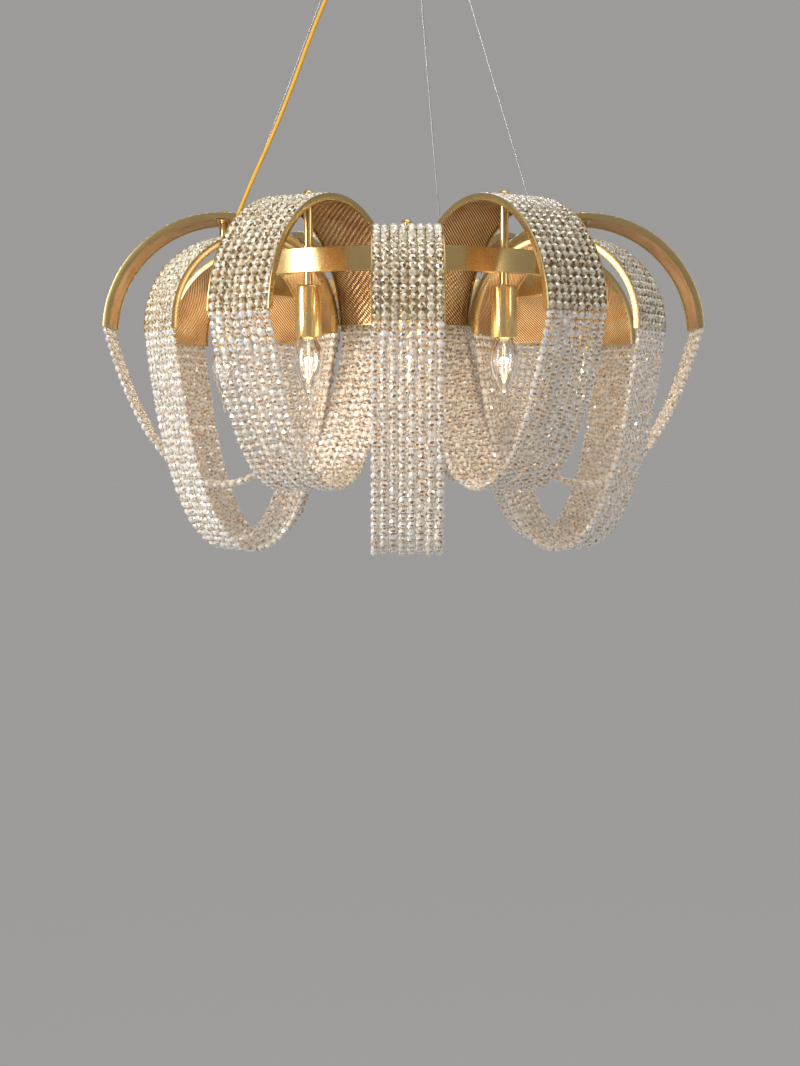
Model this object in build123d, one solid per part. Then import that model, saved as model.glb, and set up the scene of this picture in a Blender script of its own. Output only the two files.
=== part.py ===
from build123d import *
import math
import os

# Crystal chandelier. A gold channel ring hangs on three steel cables from a round ceiling canopy and
# carries twelve arches, large and small in turn. Each arch is a pair of side hoops with a strip of mesh
# between them, and strands of glass beads run over it and hang below as a swag. Candle bulbs hang in
# gold covers under the ring.
#
# Millimetres, +Z up. The origin is the centre of the ceiling plate's upper face. The front is -Y, and an
# angle round the lamp is counted from the front towards +X.

os.makedirs("parts", exist_ok=True)

# ceiling plate and canopy
canopy_radius = 110.0
canopy_height = 36.0
canopy_wall = 1.2
canopy_corner = 8.0
plate_thickness = 2.0
plate_rim_gap = 3.0
slot_spacing = 120.0
slot_length = 20.0
slot_width = 5.5
supply_hole_radius = 10.0
supply_hole_y = 38.0
tab_angles = (-15, 105, 225)
tab_width = 14.0
tab_height = 16.0
tab_screw_drop = 9.0
tab_inset = 0.5
tab_screw_radius = 2.0
screw_past_tab = 1.0
screw_head_radius = 4.5
screw_head_length = 6.0
screw_head_chamfer = 1.0
hole_gap = 0.3
thread_gap = 0.1

# suspension: three cables, each from a gripper under the canopy down to a ferrule on the ring
cable_angles = (-75, 45, 165)
cable_names = ("left", "right", "rear")
cable_radius = 0.9
cable_top_inset = 19.5
cable_foot_inset = 4.0
cable_foot_height = 3.0
gripper_radius = 5.5
gripper_length = 18.0
gripper_neck_radius = 3.5
gripper_nut_flats = 10.0
nut_height = 4.0
neck_above_nut = 1.8
cable_seat_depth = 2.0
cable_bore_gap = 0.3
collar_radius = 3.2
collar_pocket_gap = 0.3
collar_pocket_depth = 7.4
collar_inside = 4.0
collar_outside = 4.8
collar_head_radius = 4.2
collar_head_length = 1.5
ferrule_radius = 2.6
ferrule_length = 14.0
ferrule_bore_depth = 8.0
ferrule_base_radius = 4.0
ferrule_base_height = 4.0
ferrule_stud_radius = 2.0
ferrule_stud_length = 5.0

# ring: a channel open below, closed by a flat cover
ring_drop = 443.0
ring_height = 30.0
ring_outer_radius = 247.0
ring_width = 14.0
ring_wall = 1.5
ring_cover_thickness = 1.2
ring_cover_gap = 0.1

# arches
arch_count = 12
arch_drop_below_ring_top = 91.0
strap_width = 86.6
hoop_thickness = 2.0
hoop_depth = 7.0
large_hoop_radius = 154.0
small_hoop_radius = 114.5
large_leg = -5.5
small_leg = 7.0
end_bar_height = 6.0
end_bar_thickness = 1.6
apex_plate_length = 14.0
apex_plate_thickness = 2.0
apex_plate_lap = 0.15

# bead strands and the mesh under them
strand_count = 8
mesh_lift = 2.0
mesh_thickness = 1.2
mesh_end_gap = 0.3
strand_depth = 8.0
strand_side_gap = 0.6
strand_gap_on_strap = 1.8
strand_depth_hanging = 7.0
strand_gap_hanging = 2.0
swag_narrowing = 0.8
large_swag_drop = 202.0
small_swag_drop = 280.0
large_arch_flat_count = 10
small_arch_flat_count = 8
swag_flats = 8
apex_hole = 7.8

# posts, from the ring up through each arch
rod_radius = 2.5
rod_hole_radius = 2.7
rod_below_ring = 5.0
rod_nut_flats = 8.0
spacer_radius = 5.5
cap_neck_radius = 3.5
cap_dome_radius = 7.5
cap_dome_sink = 3.2
cap_bore_rise = 1.5
seat_gap = 0.3

# lights
light_angles = (0, 30, 90, 150, 180, 210, 270, 330)
neck_radius = 5.5
neck_bore_radius = 2.5
neck_length = 15.0
nipple_radius = 4.0
nipple_nut_radius = 5.0
nipple_nut_height = 3.0
nipple_above_nut = 2.0
lower_nipple_radius = 4.6
cover_radius = 16.25
cover_length = 65.0
cover_wall = 1.2
cover_shoulder = 3.5
holder_radius = 13.5
holder_drop = 6.0
holder_thread = 3.0
bulb_cap_radius = 6.9
bulb_cap_length = 25.0
bulb_contact_radius = 3.5
bulb_contact_height = 2.0
bulb_cap_clearance = 0.5
bulb_skirt_radius = 10.5
bulb_skirt_height = 5.0
bulb_inside_cover = 5.0
bulb_travel_clearance = 0.5
glass_wall = 0.9
# the candle bulb's outline: depth below its neck and outer radius
glass_outline = ((0, 10.9), (5, 13.4), (16, 16.6), (34, 17.5), (54, 14.3), (72, 7.6), (86, 3.2), (93, 1.2))
filament_length = 62.0
filament_base_radius = 3.0
filament_tip_radius = 1.2

# power cord and its glands
cord_radius = 2.5
cord_bore_gap = 0.3
gland_radius = 5.0
gland_length = 9.0
gland_neck_radius = 4.0
gland_nut_flats = 11.0
canopy_gland_inset = 15.0
canopy_gland_angle = -65.5
ring_gland_angle = -72.0
ring_gland_floor = 4.0
terminal_block_size = (26.0, 15.0, 12.0)
terminal_block_inset = 8.0
terminal_cord_depth = 6.0
cord_end_gap = 1.0
cord_drop_below_canopy = 26.0
cord_rise_above_ring = 26.0

# ------------------------------------------------------------------ sizes that follow
plate_radius = canopy_radius - canopy_wall - plate_rim_gap
canopy_floor_z = -canopy_height
ring_top_z = -ring_drop
ring_bottom_z = ring_top_z - ring_height
ring_inner_radius = ring_outer_radius - ring_width
arch_circle = ring_outer_radius - ring_width / 2
cable_top_circle = canopy_radius - cable_top_inset
cable_foot_circle = ring_outer_radius - cable_foot_inset
canopy_gland_circle = canopy_radius - canopy_gland_inset
terminal_bottom_z = -plate_thickness - terminal_block_size[2]
arch_z = ring_top_z - arch_drop_below_ring_top
cover_top_z = ring_bottom_z - neck_length
cover_mouth_z = cover_top_z - cover_length
holder_top_z = cover_top_z - holder_drop
glass_top_z = cover_mouth_z + bulb_inside_cover
cap_shell_bottom_z = glass_top_z + bulb_skirt_height
cap_shell_top_z = cap_shell_bottom_z + bulb_cap_length
contact_top_z = cap_shell_top_z + bulb_contact_height
holder_bottom_z = cap_shell_bottom_z + bulb_travel_clearance
strap_inside = strap_width - 2 * hoop_thickness
strands_inside = strap_inside - 2 * strand_side_gap
strand_pitch_on_strap = (strands_inside + strand_gap_on_strap) / strand_count
strand_width_on_strap = strand_pitch_on_strap - strand_gap_on_strap
strand_pitch_hanging = strand_pitch_on_strap - swag_narrowing
strand_width_hanging = strand_pitch_hanging - strand_gap_hanging

top_down = (Align.CENTER, Align.CENTER, Align.MAX)
bottom_up = (Align.CENTER, Align.CENTER, Align.MIN)


# ------------------------------------------------------------------ helpers
def around(shape, angle):
    """A piece made at the front, turned to its place round the lamp."""
    return Rot(0, 0, angle) * shape


def on_circle(radius, angle):
    """The plan point at a radius and an angle counted from the front."""
    turn = math.radians(angle)
    return radius * math.sin(turn), -radius * math.cos(turn)


def disc(radius, low_z, high_z, x=0.0, y=0.0):
    """An upright cylinder between two heights."""
    return Pos(x, y, low_z) * Cylinder(radius, high_z - low_z, align=bottom_up)


def hex_nut(flats, low_z, high_z, x=0.0, y=0.0):
    """An upright hexagonal prism, its size given across the flats."""
    outline = RegularPolygon(flats / 2, 6, major_radius=False)
    return Pos(x, y, low_z) * extrude(outline, high_z - low_z)


def turned(points):
    """A solid of revolution about Z, from (radius, height) points that start and end on the axis."""
    outline = make_face(Plane.XZ * Polyline(*points, close=True))
    return revolve(outline, Axis.Z)


def cup(radius, height, wall, corner):
    """A drawn cup with its floor down and its mouth at height 0."""
    outside = Cylinder(radius, height, align=top_down)
    outside = fillet(outside.edges().group_by(Axis.Z)[0], corner)
    inside = Cylinder(radius - wall, height - wall, align=top_down)
    inside = fillet(inside.edges().group_by(Axis.Z)[0], corner - wall)
    return outside - inside


def write(name, shape):
    export_step(shape, f"parts/{name}.step")


def group(shapes):
    return Compound(children=list(shapes))


# ------------------------------------------------------------------ ceiling plate, canopy and screws
def make_ceiling_plate():
    """A steel disc with slots for the ceiling screws and three tabs that take the canopy's screws."""
    plate = disc(plate_radius, -plate_thickness, 0)
    slot = SlotOverall(slot_length, slot_width)
    for side in (-1, 1):
        plate -= Pos(side * slot_spacing / 2, 0, -plate_thickness) * extrude(slot, plate_thickness)
    plate -= disc(supply_hole_radius, -plate_thickness, 0, 0, supply_hole_y)
    for angle in tab_angles:
        tab = Pos(0, -plate_radius + plate_thickness / 2 + tab_inset, 0) * Box(
            tab_width, plate_thickness, tab_height, align=top_down
        )
        plate += around(tab, angle)
        hole = Pos(0, -plate_radius, -tab_screw_drop) * Rot(90, 0, 0)
        plate -= around(hole * Cylinder(tab_screw_radius + thread_gap, 4 * plate_thickness), angle)
    return plate


def make_canopy():
    """The drawn cup over the ceiling plate, with holes for the grippers, the cord gland and the screws."""
    canopy = cup(canopy_radius, canopy_height, canopy_wall, canopy_corner)
    for angle in cable_angles:
        x, y = on_circle(cable_top_circle, angle)
        canopy -= disc(gripper_neck_radius + hole_gap, canopy_floor_z, canopy_floor_z + canopy_wall, x, y)
    x, y = on_circle(canopy_gland_circle, canopy_gland_angle)
    canopy -= disc(gland_neck_radius + hole_gap, canopy_floor_z, canopy_floor_z + canopy_wall, x, y)
    for angle in tab_angles:
        hole = Pos(0, -canopy_radius, -tab_screw_drop) * Rot(90, 0, 0)
        canopy -= around(hole * Cylinder(tab_screw_radius + hole_gap, 4 * canopy_wall), angle)
    return canopy


def make_canopy_screws():
    """Three thumb screws through the canopy's side into the tabs of the ceiling plate."""
    shank_inner = plate_radius - tab_inset - plate_thickness - screw_past_tab
    shank = Cylinder(tab_screw_radius, canopy_radius - shank_inner, align=bottom_up)
    head = Pos(0, 0, canopy_radius - shank_inner) * Cylinder(
        screw_head_radius, screw_head_length, align=bottom_up
    )
    head = chamfer(head.edges().group_by(Axis.Z)[-1], screw_head_chamfer)
    screw = Pos(0, -shank_inner, -tab_screw_drop) * Rot(90, 0, 0) * (shank + head)
    return [around(screw, angle) for angle in tab_angles]


def make_terminal_block():
    """The connector block under the ceiling plate, straight above the cord's gland."""
    x, y = on_circle(canopy_gland_circle, canopy_gland_angle)
    length, width, height = terminal_block_size
    inward = Rot(0, 0, canopy_gland_angle) * Pos(0, terminal_block_inset, 0) * Box(
        width, length, height, align=top_down
    )
    block = Pos(x, y, -plate_thickness) * inward
    way_top = terminal_bottom_z + terminal_cord_depth
    return block - disc(cord_radius + cord_bore_gap, terminal_bottom_z, way_top, x, y)


# ------------------------------------------------------------------ suspension
cable_rise = canopy_floor_z - (ring_top_z + cable_foot_height)
cable_run = cable_foot_circle - cable_top_circle
cable_length = math.hypot(cable_rise, cable_run)
cable_tilt = math.degrees(math.atan2(cable_run, cable_rise))
# a frame at the front whose Z runs down the cable from the point where it meets the canopy
down_cable = Pos(0, -cable_top_circle, canopy_floor_z) * Rot(180 - cable_tilt, 0, 0)


def along_cable(radius, start, end):
    """A cylinder on the cable's line, between two distances below the canopy."""
    return down_cable * Pos(0, 0, start) * Cylinder(radius, end - start, align=bottom_up)


def make_gripper():
    """Gripper body: cut level against the canopy, with a threaded neck and a nut above it."""
    body = along_cable(gripper_radius, -gripper_radius, gripper_length)
    above = Pos(0, -cable_top_circle, canopy_floor_z) * Box(
        6 * gripper_radius, 6 * gripper_radius, 4 * gripper_radius, align=bottom_up
    )
    body -= above
    nut_z = canopy_floor_z + canopy_wall
    neck_top_z = nut_z + nut_height + neck_above_nut
    body += disc(gripper_neck_radius, canopy_floor_z, neck_top_z, 0, -cable_top_circle)
    body += hex_nut(gripper_nut_flats, nut_z, nut_z + nut_height, 0, -cable_top_circle)
    body -= along_cable(cable_radius + cable_bore_gap, cable_seat_depth, gripper_length)
    pocket = gripper_length - collar_pocket_depth
    body -= along_cable(collar_radius + collar_pocket_gap, pocket, gripper_length)
    return body


def make_release_collar():
    """The sprung plunger that is pressed up to free the cable."""
    tip = gripper_length + collar_outside
    collar = along_cable(collar_radius, gripper_length - collar_inside, tip)
    collar += along_cable(collar_head_radius, tip - collar_head_length, tip)
    return collar - along_cable(cable_radius + cable_bore_gap, gripper_length - collar_inside, tip)


def make_cable():
    """One taut steel cable between the floors of the gripper's and the ferrule's bores."""
    foot = cable_length - ferrule_length + ferrule_bore_depth
    return along_cable(cable_radius, cable_seat_depth, foot)


def make_ferrule():
    """The ferrule on the ring that holds the cable's lower end, with its stud through the ring."""
    foot_y = -cable_foot_circle
    base_top = ring_top_z + ferrule_base_height
    ferrule = disc(ferrule_base_radius, ring_top_z, base_top, 0, foot_y)
    ferrule += disc(ferrule_stud_radius, ring_top_z - ferrule_stud_length, ring_top_z, 0, foot_y)
    ferrule += along_cable(ferrule_radius, cable_length - ferrule_length, cable_length)
    mouth = cable_length - ferrule_length
    return ferrule - along_cable(cable_radius + cable_bore_gap, mouth, mouth + ferrule_bore_depth)


# ------------------------------------------------------------------ ring
def make_ring_channel():
    """The rolled channel ring: two walls and a top, with holes for rods, ferrules and the cord."""
    ring = disc(ring_outer_radius, ring_bottom_z, ring_top_z)
    ring -= disc(ring_inner_radius, ring_bottom_z, ring_top_z)
    groove_top = ring_top_z - ring_wall
    groove = disc(ring_outer_radius - ring_wall, ring_bottom_z, groove_top)
    groove -= disc(ring_inner_radius + ring_wall, ring_bottom_z, groove_top)
    ring -= groove
    for index in range(arch_count):
        x, y = on_circle(arch_circle, index * 360 / arch_count)
        ring -= disc(rod_hole_radius, groove_top, ring_top_z, x, y)
    for angle in cable_angles:
        x, y = on_circle(cable_foot_circle, angle)
        ring -= disc(ferrule_stud_radius + hole_gap, groove_top, ring_top_z, x, y)
    x, y = on_circle(arch_circle, ring_gland_angle)
    ring -= disc(gland_neck_radius + hole_gap, groove_top, ring_top_z, x, y)
    return ring


def make_ring_cover():
    """The flat ring that closes the channel below, with a hole for each lamp's nipple."""
    outer = ring_outer_radius - ring_wall - ring_cover_gap
    inner = ring_inner_radius + ring_wall + ring_cover_gap
    top = ring_bottom_z + ring_cover_thickness
    cover = disc(outer, ring_bottom_z, top) - disc(inner, ring_bottom_z, top)
    for angle in light_angles:
        x, y = on_circle(arch_circle, angle)
        cover -= disc(nipple_radius + hole_gap, ring_bottom_z, top, x, y)
    return cover


# ------------------------------------------------------------------ arches
# the upright plane through the front arch, with X outwards, Y up and its origin at the arch's centre
arch_plane = Plane(origin=(0, -arch_circle, arch_z), x_dir=(0, -1, 0), z_dir=(-1, 0, 0))


def wide(outline, width, offset=0.0):
    """An outline of the arch's plane, made as wide as given, its middle set off sideways."""
    solid = extrude(arch_plane * outline, width / 2, both=True)
    return Pos(offset, 0, 0) * solid


def above_line(radius, height):
    """Everything of a half ring that lies above a height."""
    return Pos(0, height) * Rectangle(4 * radius, 2 * radius, align=(Align.CENTER, Align.MIN))


def hoop_outline(radius, leg):
    """A half ring of flat bar, with straight legs below its centre, or its ends cut short."""
    inner = radius - hoop_depth
    outline = (Circle(radius) - Circle(inner)) & above_line(radius, max(-leg, 0))
    if leg > 0:
        for side in (-1, 1):
            outline += Pos(side * (radius + inner) / 2, -leg / 2) * Rectangle(hoop_depth, leg)
    return outline


def make_strap_frame(radius, leg):
    """Two side hoops, a tie bar at each end and the plate at the top that the post holds."""
    inner = radius - hoop_depth
    hoop = hoop_outline(radius, leg)
    middle = (strap_width - hoop_thickness) / 2
    frame = wide(hoop, hoop_thickness, -middle) + wide(hoop, hoop_thickness, middle)
    plate = Pos(0, inner + apex_plate_lap - apex_plate_thickness / 2) * Rectangle(
        apex_plate_length, apex_plate_thickness
    )
    frame += wide(plate, strap_width)
    for side in (-1, 1):
        bar = Pos(side * (inner + end_bar_thickness / 2), -leg + end_bar_height / 2) * Rectangle(
            end_bar_thickness, end_bar_height
        )
        frame += wide(bar, strap_width)
    plate_z = plate_top_z(radius)
    return frame - disc(rod_hole_radius, plate_z - apex_plate_thickness, plate_z, 0, -arch_circle)


def catenary(half_span, drop):
    """The parameter of the catenary that hangs a given drop below the ends of its span."""
    low, high = half_span / 50, half_span * 50
    while high - low > 1e-6:
        middle = (low + high) / 2
        if middle * (math.cosh(half_span / middle) - 1) > drop:
            low = middle
        else:
            high = middle
    return low


def arc_points(radius, leg, flats):
    """The corners of the half polygon over an arch, from the outer end to the inner one."""
    start = math.asin(max(-leg, 0) / radius)
    points = [(radius * math.cos(start), -leg)]
    for index in range(1, flats):
        turn = math.pi * index / flats
        points.append((radius * math.cos(turn), radius * math.sin(turn)))
    points.append((-radius * math.cos(start), -leg))
    return points


def swag_points(half_span, leg, drop, offset):
    """The corners of a hanging swag from the inner end to the outer one, set off outwards."""
    a = catenary(half_span, drop)
    points = []
    for index in range(swag_flats + 1):
        x = half_span * (2 * index / swag_flats - 1)
        y = a * math.cosh(x / a) - a - drop - leg
        slope = math.atan(math.sinh(x / a))
        points.append((x + offset * math.sin(slope), y - offset * math.cos(slope)))
    # the ends are cut level, where the swag leaves the strap
    points[0] = (-half_span - offset / math.sin(slope), -leg)
    points[-1] = (-points[0][0], -leg)
    return points


def band(outside, inside):
    """The face between two open chains of corners that run the same way."""
    return make_face(Polyline(*outside, *reversed(inside), close=True))


def make_bead_net(radius, leg, drop, flats):
    """A strip of mesh with the bead strands on it, which go on below the strap as closed swags."""
    mesh_inner = radius - hoop_depth + mesh_lift
    strand_inner = mesh_inner + mesh_thickness
    strand_outer = strand_inner + strand_depth
    on_strap = band(arc_points(strand_outer, leg, flats), arc_points(strand_inner, leg, flats))
    mesh = band(arc_points(strand_inner, leg, flats), arc_points(mesh_inner, leg, flats))
    mesh &= above_line(radius, -leg + end_bar_height + mesh_end_gap)
    half_span = (strand_inner + strand_outer) / 2 * math.cos(math.asin(max(-leg, 0) / strand_outer))
    half_depth = strand_depth_hanging / 2
    hanging = band(
        swag_points(half_span, leg, drop - leg, half_depth),
        swag_points(half_span, leg, drop - leg, -half_depth),
    )
    net = wide(mesh, strap_inside)
    for index in range(strand_count):
        place = index - (strand_count - 1) / 2
        strand = wide(on_strap, strand_width_on_strap, place * strand_pitch_on_strap)
        strand += wide(hanging, strand_width_hanging, place * strand_pitch_hanging)
        net += strand
    apex = Pos(0, -arch_circle, arch_z + mesh_inner) * Box(apex_hole, apex_hole, 4 * strand_depth)
    return net - apex


# ------------------------------------------------------------------ posts
def plate_top_z(radius):
    return arch_z + radius - hoop_depth + apex_plate_lap


def cap_seat_z(radius):
    """Where the dome of a cap nut sits, just over the beads."""
    return arch_z + radius - hoop_depth + mesh_lift + mesh_thickness + strand_depth + seat_gap


def make_rod(radius):
    """The threaded rod of a post, with its hexagonal nut inside the channel."""
    top = cap_seat_z(radius) + cap_bore_rise - seat_gap
    bottom = ring_top_z - ring_wall - rod_below_ring
    rod = disc(rod_radius, bottom, top, 0, -arch_circle)
    nut_top = ring_top_z - ring_wall
    return rod + hex_nut(rod_nut_flats, nut_top - nut_height, nut_top, 0, -arch_circle)


def make_spacer(radius):
    """The gold tube between the ring and the plate at the top of an arch."""
    top = plate_top_z(radius) - apex_plate_thickness
    tube = disc(spacer_radius, ring_top_z, top, 0, -arch_circle)
    return tube - disc(rod_hole_radius, ring_top_z, top, 0, -arch_circle)


def make_cap_nut(radius):
    """The domed nut on top of an arch, with a neck down through the beads to the plate."""
    seat = cap_seat_z(radius)
    ball = Pos(0, -arch_circle, seat - cap_dome_sink) * Sphere(cap_dome_radius)
    below = disc(2 * cap_dome_radius, seat - 3 * cap_dome_radius, seat, 0, -arch_circle)
    nut = ball - below
    nut += disc(cap_neck_radius, plate_top_z(radius), seat, 0, -arch_circle)
    bore_top = seat + cap_bore_rise
    return nut - disc(rod_radius + thread_gap, plate_top_z(radius), bore_top, 0, -arch_circle)


# ------------------------------------------------------------------ lights
def make_lamp_neck():
    """The tube under the ring, its nipples screwed through the ring cover and into the lampholder."""
    y = -arch_circle
    cover_top = ring_bottom_z + ring_cover_thickness
    neck = disc(neck_radius, cover_top_z, ring_bottom_z, 0, y)
    nut_top = cover_top + nipple_nut_height
    neck += disc(nipple_radius, ring_bottom_z, nut_top + nipple_above_nut, 0, y)
    neck += disc(nipple_nut_radius, cover_top, nut_top, 0, y)
    neck += disc(lower_nipple_radius, holder_top_z - holder_thread, cover_top_z, 0, y)
    return neck - disc(
        neck_bore_radius, holder_top_z - holder_thread, nut_top + nipple_above_nut, 0, y
    )


def make_socket_cover():
    """The gold cover over a lampholder: a cup with its mouth down."""
    shell = Rot(180, 0, 0) * cup(cover_radius, cover_length, cover_wall, cover_shoulder)
    shell = Pos(0, -arch_circle, cover_mouth_z) * shell
    hole_low = cover_top_z - cover_wall
    return shell - disc(lower_nipple_radius + hole_gap, hole_low, cover_top_z, 0, -arch_circle)


def make_lampholder():
    """The ceramic lampholder, bored for the bulb's cap."""
    y = -arch_circle
    holder = disc(holder_radius, holder_bottom_z, holder_top_z, 0, y)
    bore_top = contact_top_z + bulb_travel_clearance
    holder -= disc(bulb_cap_radius + bulb_cap_clearance, holder_bottom_z, bore_top, 0, y)
    holder -= disc(neck_bore_radius, bore_top, holder_top_z, 0, y)
    thread_low = holder_top_z - holder_thread
    return holder - disc(lower_nipple_radius + thread_gap, thread_low, holder_top_z, 0, y)


def make_bulb_cap():
    """The bulb's screw cap with its contact and skirt, and the stem that carries the filaments."""
    outline = [
        (0, glass_top_z - filament_length),
        (filament_tip_radius, glass_top_z - filament_length),
        (filament_base_radius, glass_top_z),
        (bulb_skirt_radius, glass_top_z),
        (bulb_skirt_radius, cap_shell_bottom_z),
        (bulb_cap_radius, cap_shell_bottom_z),
        (bulb_cap_radius, cap_shell_top_z),
        (bulb_contact_radius, cap_shell_top_z),
        (bulb_contact_radius, contact_top_z),
        (0, contact_top_z),
    ]
    return Pos(0, -arch_circle, 0) * turned(outline)


def make_bulb_glass():
    """The clear candle envelope, open at the neck where it is cemented to the cap."""
    outside = [(radius, glass_top_z - depth) for depth, radius in glass_outline]
    inside = [(radius - glass_wall, height) for radius, height in outside[:-2]]
    tip_z = outside[-1][1]
    inside.append((0, tip_z + (outside[-2][1] - tip_z) / 2))
    outline = [*outside, (0, tip_z), *reversed(inside)]
    return Pos(0, -arch_circle, 0) * turned(outline)


# ------------------------------------------------------------------ power cord
# the cord's route, from the canopy's gland down beside the left cable to the gland on the ring
canopy_gland_x, canopy_gland_y = on_circle(canopy_gland_circle, canopy_gland_angle)
ring_gland_x, ring_gland_y = on_circle(arch_circle, ring_gland_angle)
cord_route = [
    (canopy_gland_x, canopy_gland_y, terminal_bottom_z + terminal_cord_depth - cord_end_gap),
    (canopy_gland_x, canopy_gland_y, canopy_floor_z - cord_drop_below_canopy),
    (-108, -42, -111),
    (-126, -45.5, -158),
    (-146.5, -49.5, -216),
    (-170, -55, -276),
    (-196, -62, -335),
    (-215.5, -71, -385),
    (ring_gland_x, ring_gland_y, ring_top_z + cord_rise_above_ring),
    (ring_gland_x, ring_gland_y, ring_top_z + ring_gland_floor),
]


def cord_bends(route):
    """The radius at each corner: 0.45 of the shorter run over the tangent of half the turn."""
    radii = []
    for before, corner, after in zip(route, route[1:], route[2:]):
        first = Vector(*corner) - Vector(*before)
        second = Vector(*after) - Vector(*corner)
        half_turn = math.radians(first.get_angle(second)) / 2
        radii.append(0.45 * min(first.length, second.length) / math.tan(half_turn))
    return radii


def make_power_cord():
    """The round cord, swept along straight runs joined by tangent arcs."""
    radii = cord_bends(cord_route)
    path = FilletPolyline(*cord_route, radius=radii)
    start = Plane(origin=path @ 0, z_dir=path % 0)
    cord = sweep(start * Circle(cord_radius), path=path)
    expected = math.pi * cord_radius**2 * path.length
    print("cord bend radii", [round(r) for r in radii])
    print("cord length", round(path.length, 1), "volume ratio", round(cord.volume / expected, 4))
    return cord


def make_glands():
    """The cord's two glands: one through the canopy and one through the top of the ring."""
    bore = cord_radius + cord_bore_gap
    x, y = canopy_gland_x, canopy_gland_y
    nut_z = canopy_floor_z + canopy_wall
    upper = disc(gland_radius, canopy_floor_z - gland_length, canopy_floor_z, x, y)
    upper += disc(gland_neck_radius, canopy_floor_z, nut_z + nut_height + neck_above_nut, x, y)
    upper += hex_nut(gland_nut_flats, nut_z, nut_z + nut_height, x, y)
    upper -= disc(bore, canopy_floor_z - gland_length, nut_z + nut_height + neck_above_nut, x, y)
    x, y = ring_gland_x, ring_gland_y
    lower = disc(gland_radius, ring_top_z, ring_top_z + gland_length, x, y)
    lower += disc(gland_neck_radius, ring_top_z - ferrule_stud_length, ring_top_z, x, y)
    lower -= disc(bore, ring_top_z + ring_gland_floor, ring_top_z + gland_length, x, y)
    return [upper, lower]


# ------------------------------------------------------------------ write every node
write("ceiling_plate", make_ceiling_plate())
write("canopy", make_canopy())
write("canopy_screws", group(make_canopy_screws()))
write("terminal_block", make_terminal_block())
write("gripper_bodies", group(around(make_gripper(), angle) for angle in cable_angles))
write("suspension_cables", group(around(make_cable(), angle) for angle in cable_angles))
write("cable_ferrules", group(around(make_ferrule(), angle) for angle in cable_angles))
for name, angle in zip(cable_names, cable_angles):
    write(f"release_collar_{name}", around(make_release_collar(), angle))

write("ring_channel", make_ring_channel())
write("ring_cover", make_ring_cover())

large = {
    "frame": make_strap_frame(large_hoop_radius, large_leg),
    "net": make_bead_net(large_hoop_radius, large_leg, large_swag_drop, large_arch_flat_count),
    "radius": large_hoop_radius,
}
small = {
    "frame": make_strap_frame(small_hoop_radius, small_leg),
    "net": make_bead_net(small_hoop_radius, small_leg, small_swag_drop, small_arch_flat_count),
    "radius": small_hoop_radius,
}
arches = [(index * 360 / arch_count, (small, large)[index % 2]) for index in range(arch_count)]
for number, (angle, arch) in enumerate(arches, 1):
    write(f"strap_frame_{number:02d}", around(arch["frame"], angle))
    write(f"bead_net_{number:02d}", around(arch["net"], angle))
write("arch_rods", group(around(make_rod(arch["radius"]), angle) for angle, arch in arches))
write("spacer_tubes", group(around(make_spacer(arch["radius"]), angle) for angle, arch in arches))
write("cap_nuts", group(around(make_cap_nut(arch["radius"]), angle) for angle, arch in arches))

write("lamp_necks", group(around(make_lamp_neck(), angle) for angle in light_angles))
write("socket_covers", group(around(make_socket_cover(), angle) for angle in light_angles))
write("lampholders", group(around(make_lampholder(), angle) for angle in light_angles))
for number, angle in enumerate(light_angles, 1):
    write(f"bulb_cap_{number}", around(make_bulb_cap(), angle))
    write(f"bulb_glass_{number}", around(make_bulb_glass(), angle))

write("power_cord", make_power_cord())
write("cord_glands", group(make_glands()))
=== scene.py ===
import math

import bpy
import numpy as np
from mathutils import Matrix, Vector


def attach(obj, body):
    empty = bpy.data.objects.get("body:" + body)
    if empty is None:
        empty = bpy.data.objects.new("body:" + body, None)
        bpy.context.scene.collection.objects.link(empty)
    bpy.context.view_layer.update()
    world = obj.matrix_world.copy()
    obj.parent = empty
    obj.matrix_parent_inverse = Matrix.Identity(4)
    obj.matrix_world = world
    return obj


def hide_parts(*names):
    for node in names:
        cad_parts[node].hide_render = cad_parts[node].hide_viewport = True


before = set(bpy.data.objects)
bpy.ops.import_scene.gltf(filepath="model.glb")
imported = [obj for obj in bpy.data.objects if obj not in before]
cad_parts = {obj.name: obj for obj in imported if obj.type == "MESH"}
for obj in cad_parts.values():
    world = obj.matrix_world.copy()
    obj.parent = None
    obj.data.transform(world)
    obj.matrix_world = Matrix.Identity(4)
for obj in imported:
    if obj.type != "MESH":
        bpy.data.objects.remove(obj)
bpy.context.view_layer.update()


# ------------------------------------------------------------------ camera
# The viewing point: level, 2.5 m in front and a little above the lowest beads. The lens shift puts
# the lamp in the upper half of the frame and keeps upright edges upright.
frame_height = 1066
eye_level_above_middle = 83.4
camera = bpy.data.objects.new("camera", bpy.data.cameras.new("camera"))
bpy.context.collection.objects.link(camera)
bpy.context.scene.camera = camera
camera.location = (-0.0391, -2.5457, -0.690)
camera.rotation_euler = (math.radians(90), 0, math.radians(-0.77))
camera.data.lens = 64.4
camera.data.sensor_width = 36.0
camera.data.shift_y = -eye_level_above_middle / frame_height
camera.data.clip_end = 400.0


# ------------------------------------------------------------------ suspension cables
# Three taut cables of fine steel wires laid up like rope, 1.8 mm thick. Each runs from a gripper
# under the canopy down and outwards to a ferrule on the ring.
cable_angles = {"left": -75, "right": 45, "rear": 165}
# radius and height of the gripper and of the ferrule, and how far along that line the cable goes
cable_top = (0.0905, -0.036)
cable_foot = (0.243, -0.440)
cable_from, cable_to = 0.002, 0.4258
cable_thickness = 0.0018


def plan(radius, angle):
    """The plan point at a radius and an angle in degrees, from the front towards the right."""
    turn = math.radians(angle)
    return radius * math.sin(turn), -radius * math.cos(turn)


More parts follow.
